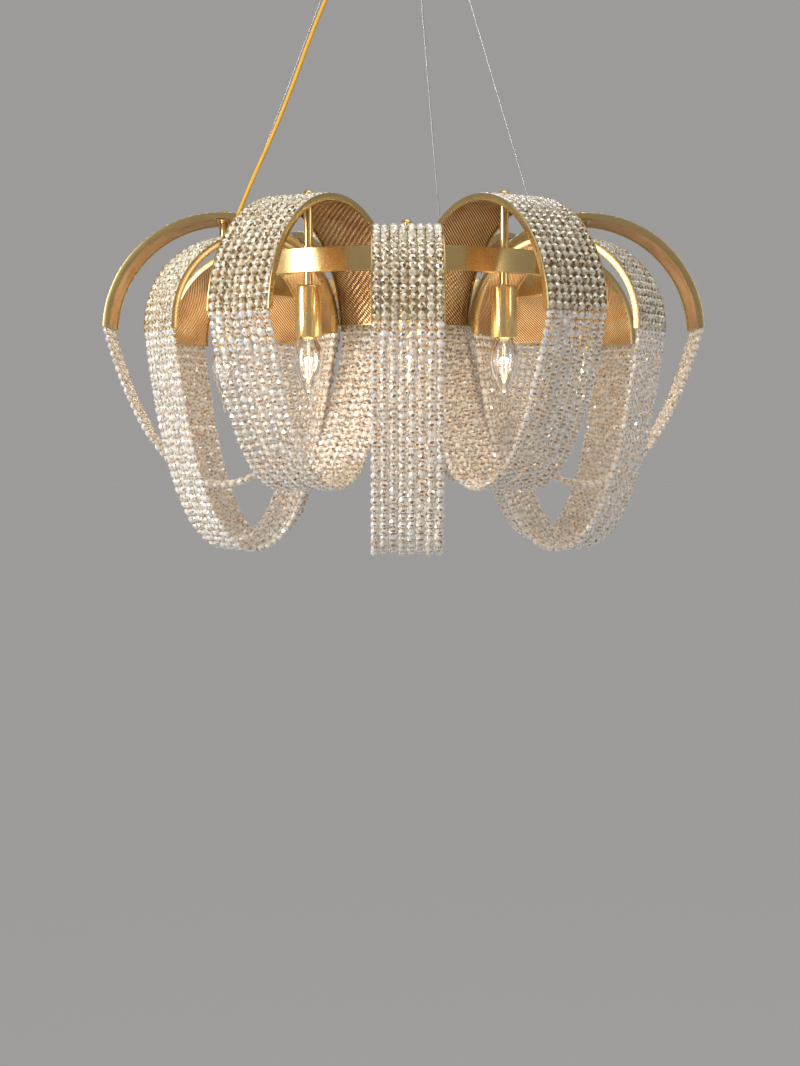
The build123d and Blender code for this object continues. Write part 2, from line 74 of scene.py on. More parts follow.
def node_material(name, **sockets):
    """A material, its node tree and its Principled shader, with the named sockets set."""
    material = bpy.data.materials.new(name)
    material.use_nodes = True
    shader = material.node_tree.nodes["Principled BSDF"]
    for socket, value in sockets.items():
        shader.inputs[socket.replace("_", " ")].default_value = value
    return material, material.node_tree, shader


def add_node(tree, kind, **values):
    """A node with its settings, and its unlinked inputs by name."""
    node = tree.nodes.new("ShaderNode" + kind)
    for key, value in values.items():
        if hasattr(node, key):
            setattr(node, key, value)
        else:
            node.inputs[key.replace("_", " ")].default_value = value
    return node


def bump(tree, shader, height, strength, distance):
    """Feeds a height into the shader's normal."""
    node = add_node(tree, "Bump", Strength=strength, Distance=distance)
    tree.links.new(height, node.inputs["Height"])
    tree.links.new(node.outputs["Normal"], shader.inputs["Normal"])


def ramp(tree, value, stops):
    """The colours of a ramp over a value, from (place, colour) stops."""
    node = tree.nodes.new("ShaderNodeValToRGB")
    elements = node.color_ramp.elements
    while len(elements) < len(stops):
        elements.new(0.5)
    for element, (place, colour) in zip(elements, stops):
        element.position = place
        element.color = (*colour, 1)
    tree.links.new(value, node.inputs["Fac"])
    return node.outputs["Color"]


wire, tree, shader = node_material("laid_wire", Metallic=1.0, Roughness=0.32)
place = add_node(tree, "TexCoord")
lay = add_node(tree, "TexWave", bands_direction="DIAGONAL", Scale=900.0, Distortion=0.0)
tree.links.new(place.outputs["Object"], lay.inputs["Vector"])
# the base colour is darker in the troughs of the same bands that sink the bump: painted shade
# between the laid wires
tree.links.new(
    ramp(tree, lay.outputs["Fac"], [(0.2, (0.42, 0.42, 0.43)), (0.8, (0.80, 0.80, 0.82))]),
    shader.inputs["Base Color"],
)
bump(tree, shader, lay.outputs["Fac"], 0.6, 0.0003)


def smooth_line(name, points, thickness, material):
    """A round cord or cable: one NURBS spline with the given control points."""
    curve = bpy.data.curves.new(name, "CURVE")
    curve.dimensions = "3D"
    curve.bevel_depth = thickness / 2
    curve.bevel_resolution = 4
    curve.resolution_u = 16
    curve.use_fill_caps = True
    spline = curve.splines.new("NURBS")
    spline.points.add(len(points) - 1)
    for point, place in zip(spline.points, points):
        point.co = (*place, 1)
    spline.order_u = 3
    spline.use_endpoint_u = True
    curve.materials.append(material)
    line = bpy.data.objects.new(name, curve)
    bpy.context.collection.objects.link(line)
    return line


top_point = Vector((0, -cable_top[0], cable_top[1]))
foot_point = Vector((0, -cable_foot[0], cable_foot[1]))
down = (foot_point - top_point).normalized()
for side, angle in cable_angles.items():
    turn = Matrix.Rotation(math.radians(angle), 3, "Z")
    middle = (cable_from + cable_to) / 2
    points = [turn @ (top_point + down * along) for along in (cable_from, middle, cable_to)]
    cable = smooth_line(f"cable_{side}", points, cable_thickness, wire)
    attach(cable, "lamp")
    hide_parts("suspension_cables")


# ------------------------------------------------------------------ power cord
# A round cord in a clear amber plastic jacket, 5 mm thick. From the connector block it goes down
# through a gland in the canopy and beside the left cable to the ring.
cord_thickness = 0.005
cord_route = [
    (-0.08645, -0.03940, -0.009),
    (-0.08645, -0.03940, -0.062),
    (-0.108, -0.042, -0.111),
    (-0.126, -0.0455, -0.158),
    (-0.1465, -0.0495, -0.216),
    (-0.170, -0.055, -0.276),
    (-0.196, -0.062, -0.335),
    (-0.2155, -0.071, -0.385),
    (-0.22825, -0.07416, -0.417),
    (-0.22825, -0.07416, -0.439),
]
jacket, tree, shader = node_material(
    "amber_jacket", Roughness=0.3, Coat_Weight=0.5, Coat_Roughness=0.12, Subsurface_Weight=0.25
)
shader.inputs["Subsurface Radius"].default_value = (0.004, 0.002, 0.0006)
edge = add_node(tree, "LayerWeight", Blend=0.45)
fleck = add_node(tree, "TexNoise", Scale=260.0, Detail=2.0)
mix = add_node(tree, "Mix", data_type="RGBA", blend_type="MULTIPLY")
mix.inputs["Factor"].default_value = 0.2
core = ramp(
    tree, edge.outputs["Facing"], [(0.25, (1.0, 0.52, 0.02)), (0.8, (0.80, 0.36, 0.03))]
)
tree.links.new(core, mix.inputs["A"])
tree.links.new(fleck.outputs["Fac"], mix.inputs["B"])
tree.links.new(mix.outputs["Result"], shader.inputs["Base Color"])
bump(tree, shader, fleck.outputs["Fac"], 0.15, 0.0002)

cord = smooth_line("cord", cord_route, cord_thickness, jacket)
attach(cord, "lamp")
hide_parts("power_cord")


# ------------------------------------------------------------------ canopy and its fittings
# A cup drawn from sheet steel and sprayed satin gold, held to the ceiling plate by three knurled
# screws. The plate and its tabs are zinc-plated steel, and the connector block is pale plastic.
def brushed(name, colour, rough, grain=(1.0, 1.0, 60.0), depth=0.00012, coat=0.0):
    """Lacquered metal with brush lines that run along the axes where the grain's scale is small."""
    material, tree, shader = node_material(name, Metallic=1.0, Coat_Weight=coat, Coat_Roughness=0.1)
    place = add_node(tree, "TexCoord")
    stretch = add_node(tree, "Mapping")
    stretch.inputs["Scale"].default_value = grain
    tree.links.new(place.outputs["Object"], stretch.inputs["Vector"])
    lines = add_node(tree, "TexNoise", Scale=40.0, Detail=6.0, Roughness=0.7)
    tree.links.new(stretch.outputs["Vector"], lines.inputs["Vector"])
    cloud = add_node(tree, "TexNoise", Scale=14.0, Detail=3.0)
    tree.links.new(place.outputs["Object"], cloud.inputs["Vector"])
    dark = tuple(0.90 * value for value in colour)
    light = tuple(min(1.0, 1.06 * value) for value in colour)
    tree.links.new(
        ramp(tree, cloud.outputs["Fac"], [(0.3, dark), (0.7, light)]), shader.inputs["Base Color"]
    )
    spread = add_node(tree, "MapRange")
    spread.inputs["To Min"].default_value = rough - 0.05
    spread.inputs["To Max"].default_value = rough + 0.07
    tree.links.new(lines.outputs["Fac"], spread.inputs["Value"])
    tree.links.new(spread.outputs["Result"], shader.inputs["Roughness"])
    bump(tree, shader, lines.outputs["Fac"], 0.35, depth)
    return material


def speckled(name, scale, detail, dark, light, relief=0.0, **sockets):
    """A material mottled from dark to light by one noise, which may also give a shallow relief."""
    material, tree, shader = node_material(name, **sockets)
    noise = add_node(tree, "TexNoise", Scale=scale, Detail=detail)
    tree.links.new(
        ramp(tree, noise.outputs["Fac"], [(0.3, dark), (0.7, light)]), shader.inputs["Base Color"]
    )
    if relief:
        bump(tree, shader, noise.outputs["Fac"], relief, 0.0002)
    return material


def dress(node, material):
    """Gives a CAD node its material."""
    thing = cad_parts[node]
    thing.data.materials.clear()
    thing.data.materials.append(material)


canopy_gold = brushed("canopy_gold", (0.80, 0.60, 0.32), 0.34, coat=0.2)
zinc = brushed("zinc_plate", (0.62, 0.64, 0.66), 0.30, grain=(30.0, 1.0, 1.0))
polished_gold = brushed(
    "polished_gold", (0.90, 0.67, 0.30), 0.19, grain=(60.0, 60.0, 1.0), depth=0.00001
)
pale_plastic = speckled(
    "pale_plastic", 400.0, 3.0, (0.78, 0.76, 0.70), (0.86, 0.85, 0.80), relief=0.3, Roughness=0.5
)
dress("canopy", canopy_gold)
dress("ceiling_plate", zinc)
dress("terminal_block", pale_plastic)
for node in ("canopy_screws", "gripper_bodies", "cable_ferrules", "cord_glands"):
    dress(node, polished_gold)
for side in cable_angles:
    dress(f"release_collar_{side}", polished_gold)


# ------------------------------------------------------------------ ring
# A channel rolled into a ring from brass strip 30 mm deep, brushed round its length and lacquered
# satin gold. A flat ring closes it below, with a hairline seam inside each wall.
ring_top = -0.443
ring_bottom = -0.473
ring_outer = 0.247
ring_inner = 0.233
ring_wall = 0.0015
ring_seam = 0.0002
seam_depth = 0.0008
# how far each corner is cut back, and how far the point in the middle of the cut lies in
corner_cut, corner_point = 0.0006, 0.0002
ring_sides = 288
ring_gold = brushed(
    "ring_gold", (0.76, 0.55, 0.24), 0.20, grain=(0.15, 0.15, 90.0), depth=0.00001, coat=0.1
)


def add_mesh(name, points, faces, materials, smooth=False, face_material=None):
    """A mesh object from points in metres and faces, linked to the scene."""
    mesh = bpy.data.meshes.new(name)
    mesh.from_pydata(points, [], faces)
    for material in materials:
        mesh.materials.append(material)
    if face_material is not None:
        mesh.polygons.foreach_set("material_index", face_material)
    if smooth:
        mesh.polygons.foreach_set("use_smooth", [True] * len(mesh.polygons))
    mesh.update()
    thing = bpy.data.objects.new(name, mesh)
    bpy.context.collection.objects.link(thing)
    return thing


def turned(profile, centre, sides=48):
    """Points and faces of a piece turned from (radius, height) pairs, closed at a radius of 0."""
    points, faces, rings = [], [], []
    for radius, height in profile:
        if radius == 0:
            rings.append([len(points)] * sides)
            points.append((centre[0], centre[1], height))
            continue
        rings.append(list(range(len(points), len(points) + sides)))
        for index in range(sides):
            turn = 2 * math.pi * index / sides
            points.append(
                (centre[0] + radius * math.cos(turn), centre[1] + radius * math.sin(turn), height)
            )
    for low, high in zip(rings, rings[1:]):
        for index in range(sides):
            after = (index + 1) % sides
            corners = [low[index], low[after], high[after], high[index]]
            face = list(dict.fromkeys(corners))
            if len(face) > 2:
                faces.append(face)
    return points, faces


def joined(parts):
    """Several (points, faces) pairs as one."""
    points, faces = [], []
    for more_points, more_faces in parts:
        first = len(points)
        points += more_points
        faces += [[first + corner for corner in face] for face in more_faces]
    return points, faces


def sharpen(thing, degrees=35):
    """Smooth shading that keeps edges sharper than the given angle."""
    thing.data.set_sharp_from_angle(angle=math.radians(degrees))


ring_profile = [
    (ring_inner, ring_bottom + corner_cut),
    (ring_inner, ring_top - corner_cut),
    (ring_inner + corner_point, ring_top - corner_point),
    (ring_inner + corner_cut, ring_top),
    (ring_outer - corner_cut, ring_top),
    (ring_outer - corner_point, ring_top - corner_point),
    (ring_outer, ring_top - corner_cut),
    (ring_outer, ring_bottom + corner_cut),
    (ring_outer - corner_point, ring_bottom + corner_point),
    (ring_outer - corner_cut, ring_bottom),
    (ring_outer - ring_wall + ring_seam, ring_bottom),
    (ring_outer - ring_wall, ring_bottom + seam_depth),
    (ring_outer - ring_wall - ring_seam, ring_bottom),
    (ring_inner + ring_wall + ring_seam, ring_bottom),
    (ring_inner + ring_wall, ring_bottom + seam_depth),
    (ring_inner + ring_wall - ring_seam, ring_bottom),
    (ring_inner + corner_cut, ring_bottom),
    (ring_inner + corner_point, ring_bottom + corner_point),
    (ring_inner, ring_bottom + corner_cut),
]
ring_band = add_mesh(
    "ring_band", *turned(ring_profile, (0, 0), ring_sides), [ring_gold], smooth=True
)
sharpen(ring_band, 15)
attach(ring_band, "lamp")
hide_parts("ring_channel", "ring_cover")


# ------------------------------------------------------------------ posts
# Twelve gold tubes stand on the ring, one up to each arch, each on a threaded rod that ends in a
# domed nut over the beads. The tubes and nuts are polished brass.
arch_circle = 0.240
arch_z = -0.534
arch_angles = [30 * index for index in range(12)]
hoop_radius = {"small": 0.1145, "large": 0.154}
# from the hoops' outer radius in to the floor of the strap
floor_depth = 0.007
plate_rise = 0.00015
plate_thickness = 0.002
tube_radius, tube_bore = 0.0055, 0.0030
foot_radius, foot_height = 0.0071, 0.0024
# the strip lies on the floor, the beads on the strip and the domed nut on the beads
strip_layer, bead_layer = 0.0032, 0.0083
dome_radius = 0.0075
dome_sink = 0.0032
# in degrees, from the top of the dome down to where its foot begins
dome_reach = 64.8
dome_steps = 12
nut_foot, nut_bore = 0.0064, 0.0035


def arch_kind(angle):
    """Small and large arches take turns round the ring."""
    return "large" if angle % 60 else "small"


tubes, domes = [], []
for angle in arch_angles:
    centre = plan(arch_circle, angle)
    inner = hoop_radius[arch_kind(angle)] - floor_depth
    top = arch_z + inner + plate_rise - plate_thickness
    tube_profile = [
        (tube_bore, ring_top),
        (foot_radius - 0.0003, ring_top),
        (foot_radius, ring_top + 0.0004),
        (foot_radius, ring_top + foot_height - 0.0006),
        (foot_radius - 0.0004, ring_top + foot_height - 0.0002),
        (tube_radius, ring_top + foot_height),
        (tube_radius, top - 0.0006),
        (tube_radius - 0.0005, top),
        (tube_bore, top),
    ]
    tubes.append(turned(tube_profile, centre))
    seat = arch_z + inner + strip_layer + bead_layer
    middle = seat - dome_sink
    nut_profile = [(0.0, middle + dome_radius)]
    for step in range(1, dome_steps + 1):
        turn = math.radians(dome_reach * step / dome_steps)
        nut_profile.append((dome_radius * math.sin(turn), middle + dome_radius * math.cos(turn)))
    nut_profile += [(nut_foot, seat - 0.0003), (nut_bore, seat - 0.0003)]
    nut_profile.append((nut_bore, top + plate_thickness))
    domes.append(turned(nut_profile, centre))
for name, parts, node in (
    ("post_tubes", tubes, "spacer_tubes"),
    ("dome_nuts", domes, "cap_nuts"),
):
    piece = add_mesh(name, *joined(parts), [polished_gold], smooth=True)
    sharpen(piece)
    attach(piece, "lamp")
    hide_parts(node)
dress("arch_rods", zinc)


# ------------------------------------------------------------------ strap frames
# Each arch is two hoops of flat brass bar on edge, 9 mm deep, joined by a slim tie bar at each end
# and a plate at the top that the post clamps. They are soldered, brushed and lacquered satin gold.
strap_width = 0.0866
hoop_thickness = 0.002
hoop_depth = 0.009
hoop_edge = 0.0005
# how far the small hoops run on below the level of their middle, and the large ones stop above it
strap_leg = {"small": 0.007, "large": -0.0055}
tie_height, tie_thickness, tie_gap = 0.0016, 0.0016, 0.0002
block_edge = 0.0003
plate_length = 0.014
strap_gold = brushed(
    "strap_gold", (0.64, 0.46, 0.20), 0.27, grain=(1.0, 1.0, 1.0), depth=0.00003, coat=0.05
)


def arch_turn(angle):
    """Takes (across, outwards, up) in an arch's own plane to the lamp's axes, as a 4x4 matrix."""
    return Matrix.Rotation(math.radians(angle), 4, "Z") @ Matrix(
        ((1, 0, 0, 0), (0, -1, 0, -arch_circle), (0, 0, 1, arch_z), (0, 0, 0, 1))
    )


def hoop_line(radius, leg, steps=72):
    """(outwards, up, turn) along an arch from its outer end to its inner end."""
    start = math.asin(max(-leg, 0) / radius)
    line = [
        (radius * math.cos(turn), radius * math.sin(turn), turn)
        for turn in np.linspace(start, math.pi - start, steps)
    ]
    if leg > 0:
        line = [(radius, -leg, 0.0)] + line + [(-radius, -leg, math.pi)]
    return line


def bar_section(width, depth, edge):
    """A rectangle with its corners cut twice, as (across, outwards) pairs round its middle."""
    corners = []
    for across, out in ((1, 1), (-1, 1), (-1, -1), (1, -1)):
        x, y = across * width / 2, out * depth / 2
        cut = [
            (x - across * edge, y),
            (x - across * edge * 0.3, y - out * edge * 0.3),
            (x, y - out * edge),
        ]
        corners += cut if across * out < 0 else cut[::-1]
    return corners


def hoop(radius, leg, middle):
    """Points and faces of one hoop of bar, its middle set off across the strap."""
    section = bar_section(hoop_thickness, hoop_depth, hoop_edge)
    points, faces = [], []
    line = hoop_line(radius - floor_depth / 2, leg)
    for out, up, turn in line:
        for across, deep in section:
            points.append(
                (middle + across, out + deep * math.cos(turn), up + deep * math.sin(turn))
            )
    count = len(section)
    for ring in range(len(line) - 1):
        for index in range(count):
            after = (index + 1) % count
            low, high = ring * count, (ring + 1) * count
            faces.append([low + index, low + after, high + after, high + index])
    faces.append(list(range(count)))
    faces.append([(len(line) - 1) * count + index for index in range(count)][::-1])
    return points, faces


def block(low, high):
    """A block with its four long edges, those across the strap, cut."""
    (x0, y0, z0), (x1, y1, z1) = low, high
    edge = block_edge
    outline = [
        (y0 + edge, z0),
        (y1 - edge, z0),
        (y1, z0 + edge),
        (y1, z1 - edge),
        (y1 - edge, z1),
        (y0 + edge, z1),
        (y0, z1 - edge),
        (y0, z0 + edge),
    ]
    points = [(x0, y, z) for y, z in outline] + [(x1, y, z) for y, z in outline]
    faces = [[index, (index + 1) % 8, 8 + (index + 1) % 8, 8 + index] for index in range(8)]
    faces += [list(range(8))[::-1], list(range(8, 16))]
    return points, faces


for number, angle in enumerate(arch_angles, 1):
    kind = arch_kind(angle)
    radius, leg = hoop_radius[kind], strap_leg[kind]
    inner = radius - floor_depth
    side = (strap_width - hoop_thickness) / 2
    plate_top = inner + plate_rise
    parts = [
        hoop(radius, leg, -side),
        hoop(radius, leg, side),
        block(
            (-strap_width / 2, -plate_length / 2, plate_top - plate_thickness),
            (strap_width / 2, plate_length / 2, plate_top),
        ),
    ]
    for tie_back in (inner, -inner - tie_thickness):
        parts.append(
            block(
                (-strap_width / 2 + tie_gap, tie_back, -leg),
                (strap_width / 2 - tie_gap, tie_back + tie_thickness, -leg + tie_height),
            )
        )
    strap = add_mesh(f"strap_{number:02d}", *joined(parts), [strap_gold], smooth=True)
    strap.data.transform(arch_turn(angle))
    sharpen(strap, 30)
    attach(strap, "lamp")
    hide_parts(f"strap_frame_{number:02d}")


# ------------------------------------------------------------------ woven strip
# Between the hoops of each arch lies a strip woven on the bias, which the beads are sewn to. Bright
# copper wires show below, over wider wires painted near black as the shade between them, and the
# side under the beads is gilt.
weave_lift = 0.0010
weave_pitch = 0.0042
wire_depth = 0.0004
wire_wave = 0.0002


def flat_wire(name, dull, plain, bright, rough):
    """Metal wire with blotches of tarnish from dull to bright."""
    material, tree, shader = node_material(name, Metallic=1.0, Roughness=rough)
    place = add_node(tree, "TexCoord")
    tarnish = add_node(tree, "TexNoise", Scale=30.0, Detail=5.0)
    tree.links.new(place.outputs["Object"], tarnish.inputs["Vector"])
    blotches = ramp(tree, tarnish.outputs["Fac"], [(0.3, dull), (0.5, plain), (0.75, bright)])
    tree.links.new(blotches, shader.inputs["Base Color"])
    fine = add_node(tree, "TexNoise", Scale=900.0, Detail=2.0)
    tree.links.new(place.outputs["Object"], fine.inputs["Vector"])
    bump(tree, shader, fine.outputs["Fac"], 0.4, 0.0002)
    return material


copper = flat_wire("copper_wire", (0.78, 0.46, 0.22), (0.95, 0.63, 0.33), (1.0, 0.79, 0.48), 0.36)
# these wider wires are coloured near black as painted shade of the recess under the copper wires;
# their face under the beads is gilt
shade_wire = flat_wire(
    "painted_shade_wire", (0.07, 0.035, 0.015), (0.12, 0.06, 0.025), (0.20, 0.11, 0.05), 0.5
)
gilt = flat_wire("gilt_wire", (0.70, 0.54, 0.32), (0.86, 0.72, 0.48), (0.96, 0.85, 0.64), 0.45)
weave_finishes = [copper, shade_wire, gilt]
# each layer's lean, wire width, lift and finish
weave_layers = ((1, 0.0015, 0.0, 0), (-1, 0.0025, 0.0006, 1))
# the four long faces of a wire by their corners, and the one under the beads
wire_faces = ((0, 4, 6, 2), (0, 1, 5, 4), (2, 6, 7, 3), (1, 3, 7, 5))
upper_face, upper_finish = wire_faces[3], 2
# half a wire's width, taken along the strap, as a share of that width
half_slant = 0.7


def weave(radius, leg):
    """Points, faces and face materials of the flat wires of one strip, on a bias of 45 degrees."""
    middle = radius - floor_depth + weave_lift
    half = strap_width / 2 - hoop_thickness
    straight = max(leg, 0)
    start = math.asin(max(-leg, 0) / middle)
    length = middle * (math.pi - 2 * start) + 2 * straight
    grid = np.arange(-int(half / (weave_pitch / 2)), int(half / (weave_pitch / 2)) + 1)
    points, faces, face_material = [], [], []
    first = 0
    for lean, width, lift, finish in weave_layers:
        for index in range(int((length + 2 * half) / weave_pitch) + 1):
            across = grid * weave_pitch / 2
            along = index * weave_pitch - half + lean * across
            inside = (along > 0) & (along < length)
            across, along = across[inside], along[inside]
            if len(along) < 2:
                continue
            height = lift + wire_wave * (-1.0) ** (grid[inside] + index + finish)
            corners = []
            for edge in (-1, 1):
                place = np.clip(along + edge * width * half_slant, 0, length)
                turn = start + np.clip(place - straight, 0, length - 2 * straight) / middle
                drop = np.maximum(straight - place, 0) + np.maximum(place - length + straight, 0)
                for depth in (0, wire_depth):
                    reach = middle + height + depth
                    corners.append((across, reach * np.cos(turn), reach * np.sin(turn) - drop))
            corners = np.transpose(np.array(corners), (2, 0, 1)).reshape(-1, 3)
            points.append(corners)
            steps = first + 4 * np.arange(len(along) - 1)[:, None]
            for corner_set in wire_faces:
                faces.append(steps + np.array(corner_set))
                shown = upper_finish if corner_set == upper_face else finish
                face_material += [shown] * len(steps)
            first += len(corners)
    return np.concatenate(points).tolist(), np.concatenate(faces).tolist(), face_material


for number, angle in enumerate(arch_angles, 1):
    kind = arch_kind(angle)
    points, faces, face_material = weave(hoop_radius[kind], strap_leg[kind])
    strip = add_mesh(
        f"weave_{number:02d}", points, faces, weave_finishes, face_material=face_material
    )
    strip.data.transform(arch_turn(angle))
    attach(strip, "lamp")
    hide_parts(f"bead_net_{number:02d}")


# ------------------------------------------------------------------ crystal beads
# Eight strands of cut glass beads run side by side over each arch and hang on below it as a swag,
# all on gold thread. The beads are 10 mm rounds cut with flat facets, in rows across the strands.
swag_drop = {"small": 0.280, "large": 0.202}
strand_count = 8
bead_pitch = 0.01045
strand_pitch_strap, strand_pitch_swag = 0.01055, 0.0110
strand_pitch_crossing = 0.0098
bead_sides = 8
bead_rise = 0.0057
bead_flattening = 0.74
# the lengths over which a swag spreads below the strap and narrows towards the middle of the lamp
spread_length = 0.03
crossing_radius, crossing_length = 0.185, 0.020
# unevenness: along and across a strand, between strands, of tilt, of roll and of size
slack_along, slack_across, strand_slack = 0.00012, 0.00020, 0.0016
bead_tilt, bead_roll, bead_spread = 0.05, 0.20, 0.012
# a strand's direction at a bead is taken this far before and after it
look_ahead = 0.002
thread_thickness = 0.0016
draw = np.random.default_rng(11)


def catenary(half_span, drop):
    """The parameter of the catenary that hangs a given drop below the ends of its span."""
    low, high = half_span / 50, half_span * 50
    for _ in range(60):
        middle = (low + high) / 2
        if middle * (math.cosh(half_span / middle) - 1) > drop:
            low = middle
        else:
            high = middle
    return low


def strand_line(radius, leg, drop):
    """Points (outwards, up) round a whole strand, and how many of them lie over the arch."""
    over = [(out, up) for out, up, _ in hoop_line(radius, leg, 160)]
    half_span = over[0][0]
    a = catenary(half_span, drop - leg)
    reach = a * math.sinh(half_span / a)
    below = []
    for along in np.linspace(-reach, reach, 240)[1:-1]:
        x = a * math.asinh(along / a)
        below.append((x, a * math.cosh(x / a) - a - drop))
    return np.array(over + below + over[:1]), len(over)


# one bead about its hole, along Z: four rings of corners, each turned half a facet from the last
bead_rings = ((-0.0051, 0.0023), (-0.0016, 0.0052), (0.0016, 0.0052), (0.0051, 0.0023))
bead_points = []
for ring, (along, radius) in enumerate(bead_rings):
    for index in range(bead_sides):
        turn = 2 * math.pi * (index + 0.5 * (ring in (1, 3))) / bead_sides
        bead_points.append((radius * math.cos(turn), radius * math.sin(turn), along))
bead_points = np.array(bead_points)
bead_faces = []
for ring in range(3):
    shifted = ring in (0, 2)
    for index in range(bead_sides):
        after = (index + 1) % bead_sides
        low, low_after = ring * bead_sides + index, ring * bead_sides + after
        high, high_after = low + bead_sides, low_after + bead_sides
        if shifted:
            bead_faces += [(low, low_after, high), (low_after, high_after, high)]
        else:
            bead_faces += [(low, low_after, high_after), (low, high_after, high)]
bead_faces.append(tuple(range(bead_sides))[::-1])
bead_faces.append(tuple(range(3 * bead_sides, 4 * bead_sides)))
# how dark and how bright each facet may be painted, dark as painted shade and bright as painted
# highlights: slim and wide ones in turn, then the waist, then wide and slim ones in turn, then the
# two ends, which are painted dark as the shade between beads
facet_low = np.array([0.02, 0.36] * 8 + [0.12] * 16 + [0.36, 0.02] * 8 + [0.0, 0.0])
facet_high = np.array([0.34, 0.96] * 8 + [1.0] * 16 + [0.96, 0.34] * 8 + [0.1, 0.1])
facet_middles = np.array([bead_points[list(face)].mean(axis=0) for face in bead_faces])
facet_turn = np.arctan2(facet_middles[:, 1], facet_middles[:, 0])
waist = np.abs(facet_middles[:, 2]) < 0.001


def cut_crystal(name, stops):
    """Glass with facets painted from dark to bright by their painted glint, as shade and highlights
    in the base colour; the brightest flash like mirrors.
    """
    material, tree, shader = node_material(
        name, Roughness=0.04, IOR=1.54, Transmission_Weight=0.42
    )
    painted_glint = add_node(tree, "Attribute", attribute_name="painted_glint")
    tree.links.new(ramp(tree, painted_glint.outputs["Fac"], stops), shader.inputs["Base Color"])
    mirror = add_node(tree, "MapRange")
    mirror.inputs["From Min"].default_value = 0.90
    mirror.inputs["From Max"].default_value = 0.93
    mirror.inputs["To Max"].default_value = 0.9
    tree.links.new(painted_glint.outputs["Fac"], mirror.inputs["Value"])
    tree.links.new(mirror.outputs["Result"], shader.inputs["Metallic"])
    return material


hanging_crystal = cut_crystal(
    "hanging_crystal",
    [
        (0.0, (0.18, 0.08, 0.02)),
        (0.10, (0.50, 0.29, 0.10)),
        (0.25, (0.80, 0.66, 0.47)),
        (0.45, (0.97, 0.92, 0.83)),
        (0.75, (1.0, 1.0, 0.97)),
    ],
)
# beads on a strap get a darker, warmer ramp: painted shade on the strap and a painted refraction of
# the gilt strip below them
strap_crystal = cut_crystal(
    "strap_crystal",
    [
        (0.0, (0.10, 0.05, 0.02)),
        (0.10, (0.34, 0.20, 0.07)),
        (0.25, (0.66, 0.50, 0.26)),
        (0.50, (0.92, 0.81, 0.58)),
        (0.80, (1.0, 0.96, 0.81)),
    ],
)
thread_gold = speckled(
    "gold_thread", 700.0, 2.0, (0.62, 0.40, 0.16), (0.85, 0.62, 0.30), Metallic=1.0, Roughness=0.35
)
crystal_finishes = [hanging_crystal, thread_gold, strap_crystal]
hanging, thread_finish, lying_on_strap = 0, 1, 2


def lay_strand(strand, line, place, over_length, spots):
    """Middles, axes (side, normal, tangent), rolls and sizes of the beads of one strand, and which
    of them lie on the strap."""
    count = len(spots)
    along = spots + draw.normal(0, slack_along, count)
    out = np.interp(along, place, line[:, 0])
    up = np.interp(along, place, line[:, 1])
    after = np.clip(along + look_ahead, 0, place[-1])
    before = np.clip(along - look_ahead, 0, place[-1])
    run = np.interp(after, place, line[:, 0]) - np.interp(before, place, line[:, 0])
    rise = np.interp(after, place, line[:, 1]) - np.interp(before, place, line[:, 1])
    # how far into the swag a bead hangs: 0 on the strap, 1 from 30 mm below it
    into = np.minimum(along - over_length, place[-1] - along)
    hang = np.clip(into / spread_length, 0, 1)
    # the swags narrow a little where they cross near the middle of the lamp
    inwards = np.clip((crossing_radius - arch_circle - out) / crossing_length, 0, 1)
    loose = strand_pitch_swag + (strand_pitch_crossing - strand_pitch_swag) * inwards
    pitch = strand_pitch_strap + (loose - strand_pitch_strap) * hang
    sag = hang * (strand_slack * math.sin(2.1 * strand + 0.7))
    across = (strand - (strand_count - 1) / 2) * pitch + hang * draw.normal(0, slack_across, count)
    up = up - sag + hang * draw.normal(0, slack_across, count)
    middles = np.stack([across, out, up], axis=1)
    tangent = np.stack([np.zeros(count), run, rise], axis=1)
    tangent /= np.linalg.norm(tangent, axis=1)[:, None]
    tangent += draw.normal(0, bead_tilt, (count, 3))
    side = np.tile([1.0, 0.0, 0.0], (count, 1))
    normal = np.cross(tangent, side)
    roll = math.pi / bead_sides + draw.normal(0, bead_roll, count)
    roll = np.where(into < 0, draw.uniform(0, 2 * math.pi / bead_sides, count), roll)
    size = draw.normal(1.0, bead_spread, count)
    return middles, (side, normal, tangent), roll, size, into < 0


def bead_bodies(middles, axes, roll, size):
    """Corners of each bead of a strand, rolled about its hole and flattened towards the strap."""
    side, normal, tangent = axes
    cos, sin = np.cos(roll)[:, None], np.sin(roll)[:, None]
    first_axis = side * cos + normal * sin
    second_axis = normal * cos - side * sin
    body = (
        bead_points[None, :, 0, None] * first_axis[:, None, :]
        + bead_points[None, :, 1, None] * second_axis[:, None, :]
        + bead_points[None, :, 2, None] * tangent[:, None, :]
    )
    depth = body @ normal[:, :, None]
    body = body - (1 - bead_flattening) * depth * normal[:, None, :]
    return middles[:, None, :] + body * size[:, None, None]


def thread_through(middles, side, normal):
    """Points and faces of the three-sided thread that joins the beads of a strand in a loop."""
    points, faces = [], []
    for index in range(len(middles)):
        for corner in range(3):
            turn = 2 * math.pi * corner / 3
            offset = math.cos(turn) * side[index] + math.sin(turn) * normal[index]
            points.append(tuple(middles[index] + thread_thickness / 2 * offset))
        here, after = 3 * index, 3 * ((index + 1) % len(middles))
        for corner in range(3):
            other = (corner + 1) % 3
            faces.append([here + corner, here + other, after + other, after + corner])
    return points, faces


